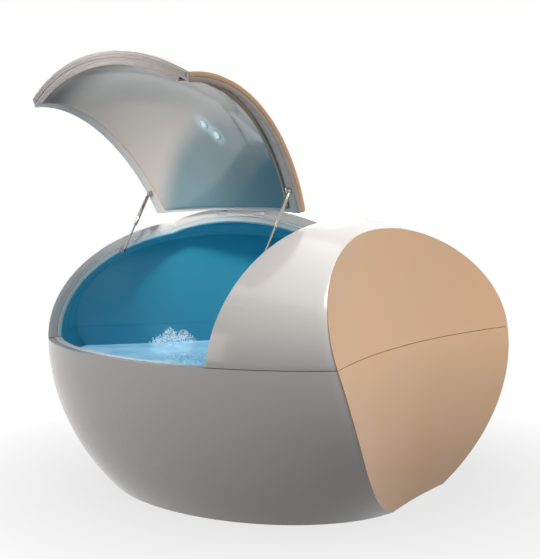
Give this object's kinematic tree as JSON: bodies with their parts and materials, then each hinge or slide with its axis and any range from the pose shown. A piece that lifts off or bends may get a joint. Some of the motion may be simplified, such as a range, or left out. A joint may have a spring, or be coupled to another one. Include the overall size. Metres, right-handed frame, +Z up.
{
  "type": "flotation tank",
  "caption": "Egg-shaped flotation tank with scooped coloured flanks, a moulded basin and a front lid that swings up on hinges and gas struts.",
  "frame": {"origin": "on the floor, at the middle of the length and width of the tank as it stands with its lid open", "axes": "+Z up; -Y towards the lid end; +Y towards the tail; +X is the side with the light button"},
  "size_m": [2.096, 2.3999, 2.0144],
  "materials": {
    "white_shell": "high-gloss gelcoat",
    "sand_panel": "gloss sand lacquer",
    "teal_liner": "gloss teal acrylic",
    "lid_liner": "gloss pale grey acrylic",
    "seal_rubber": "matt EPDM",
    "strut_chrome": "polished",
    "stainless": "brushed",
    "frame_metal": "mill finish",
    "deck_board": "sealed plywood",
    "foam": "expanded foam",
    "heater_mat": "silicone",
    "fitting_white": "gloss moulding",
    "lamp_lens": "clear",
    "button_cap": "gloss moulding",
    "pipe_grey": "moulded",
    "foot_rubber": "matt"
  },
  "bodies": {
    "tank": {"tub_shell": "white_shell", "canopy_shell": "white_shell", "tub_side_panel_right": "sand_panel", "tub_side_panel_left": "sand_panel", "canopy_side_panel_right": "sand_panel", "canopy_side_panel_left": "sand_panel", "tub_basin": "teal_liner", "canopy_liner": "teal_liner", "seam_gasket": "seal_rubber", "opening_seal": "seal_rubber", "hinge_base_right": "stainless", "hinge_base_left": "stainless", "hinge_pin_right": "stainless", "hinge_pin_left": "stainless", "strut_bracket_lower_right": "stainless", "strut_bracket_lower_left": "stainless", "lamp_bezels": "stainless", "drain_cover": "stainless", "return_nozzles": "stainless", "base_sleepers": "frame_metal", "cross_beams": "frame_metal", "support_deck": "deck_board", "basin_foam_block": "foam", "heating_mats": "heater_mat", "light_button_housing": "fitting_white", "call_button_housing": "fitting_white", "vent_sleeve": "fitting_white", "vent_grille_outer": "fitting_white", "vent_grille_inner": "fitting_white", "pipe_recess": "fitting_white", "lamp_lenses": "lamp_lens", "drain_body": "pipe_grey", "supply_union": "pipe_grey", "return_union": "pipe_grey", "levelling_feet": "foot_rubber"},
    "lid": {"lid_shell": "white_shell", "lid_liner": "lid_liner", "lid_edge_trim_right": "sand_panel", "lid_edge_trim_left": "sand_panel", "lid_seal": "seal_rubber", "lid_lamp_rings": "stainless", "lid_lamp_lenses": "lamp_lens", "hinge_flap_right": "stainless", "hinge_flap_left": "stainless", "strut_bracket_upper_right": "stainless", "strut_bracket_upper_left": "stainless"},
    "strut_tube_right": {"strut_tube_right": "strut_chrome"},
    "strut_tube_left": {"strut_tube_left": "strut_chrome"},
    "strut_rod_right": {"strut_rod_right": "strut_chrome"},
    "strut_rod_left": {"strut_rod_left": "strut_chrome"},
    "light_button": {"light_button": "button_cap"},
    "call_button": {"call_button": "button_cap"}
  },
  "joints": [
    {"name": "lid_hinge", "type": "hinge", "parent": "tank", "child": "lid", "pos_m": [0, -0.372, 1.33547], "axis": [1, 0, 0], "range_deg": [0, 77]},
    {"name": "strut_tube_right_turn", "type": "hinge", "parent": "lid", "child": "strut_tube_right", "pos_m": [0.537, -0.5223, 1.42187], "axis": [1, 0, 0], "range_deg": [-117.3, 0]},
    {"name": "strut_rod_right_slide", "type": "slide", "parent": "strut_tube_right", "child": "strut_rod_right", "axis": [0, 0.466, 0.8848], "range_m": [0, 0.1271]},
    {"name": "strut_tube_left_turn", "type": "hinge", "parent": "lid", "child": "strut_tube_left", "pos_m": [-0.537, -0.5223, 1.42187], "axis": [1, 0, 0], "range_deg": [-117.3, 0]},
    {"name": "strut_rod_left_slide", "type": "slide", "parent": "strut_tube_left", "child": "strut_rod_left", "axis": [0, 0.466, 0.8848], "range_m": [0, 0.1271]},
    {"name": "light_button_press", "type": "slide", "parent": "tank", "child": "light_button", "axis": [0.91, 0.3279, 0.2537], "range_m": [0, 0.004], "stiffness_N_per_m": 400, "springref_m": -0.001},
    {"name": "call_button_press", "type": "slide", "parent": "tank", "child": "call_button", "axis": [-0.91, 0.3279, 0.2537], "range_m": [0, 0.004], "stiffness_N_per_m": 400, "springref_m": -0.001}
  ],
  "couplings": [
    {"joint": "strut_tube_right_turn", "follows": "lid_hinge", "ratio": -1.5215},
    {"joint": "strut_rod_right_slide", "follows": "lid_hinge", "m_per_rad": 0.094487},
    {"joint": "strut_tube_left_turn", "follows": "lid_hinge", "ratio": -1.5215},
    {"joint": "strut_rod_left_slide", "follows": "lid_hinge", "m_per_rad": 0.094487}
  ]
}
